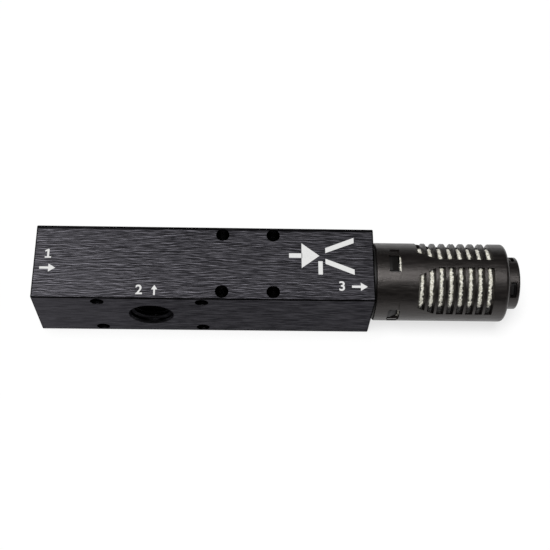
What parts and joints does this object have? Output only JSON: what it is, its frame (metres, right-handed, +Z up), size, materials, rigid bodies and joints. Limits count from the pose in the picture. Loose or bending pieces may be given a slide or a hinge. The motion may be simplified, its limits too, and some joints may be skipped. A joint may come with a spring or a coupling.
{
  "type": "vacuum ejector",
  "caption": "Square black bar with a venturi nozzle and diffuser inside, threaded air supply and vacuum ports, cross-drilled screw holes, and a slotted silencer on its exhaust end.",
  "frame": {"origin": "on the underside, below the centre line, midway along the whole ejector", "axes": "+X along the bar from the air supply end to the silencer, -Y out of the face with the vacuum port, +Z up"},
  "size_m": [0.1558, 0.0254, 0.0254],
  "materials": {
    "anodised_bar": "black anodised over a brushed surface",
    "brass": "turned",
    "rubber": "satin",
    "turned_aluminium": "turned",
    "spring_steel": "phosphated",
    "connector_plastic": "moulded nylon",
    "shell_plastic": "moulded nylon, slightly glossy",
    "felt": "pressed white fibre",
    "white_print": "screen-printed ink"
  },
  "bodies": {
    "root": {"ejector_body": "anodised_bar", "nozzle": "brass", "nozzle_o_ring": "rubber", "diffuser": "turned_aluminium", "diffuser_front_o_ring": "rubber", "diffuser_rear_o_ring": "rubber", "diffuser_retaining_ring": "spring_steel", "silencer_connector": "connector_plastic", "silencer_shell": "shell_plastic", "silencer_sleeve": "felt", "silencer_end_plug": "connector_plastic"}
  },
  "joints": []
}
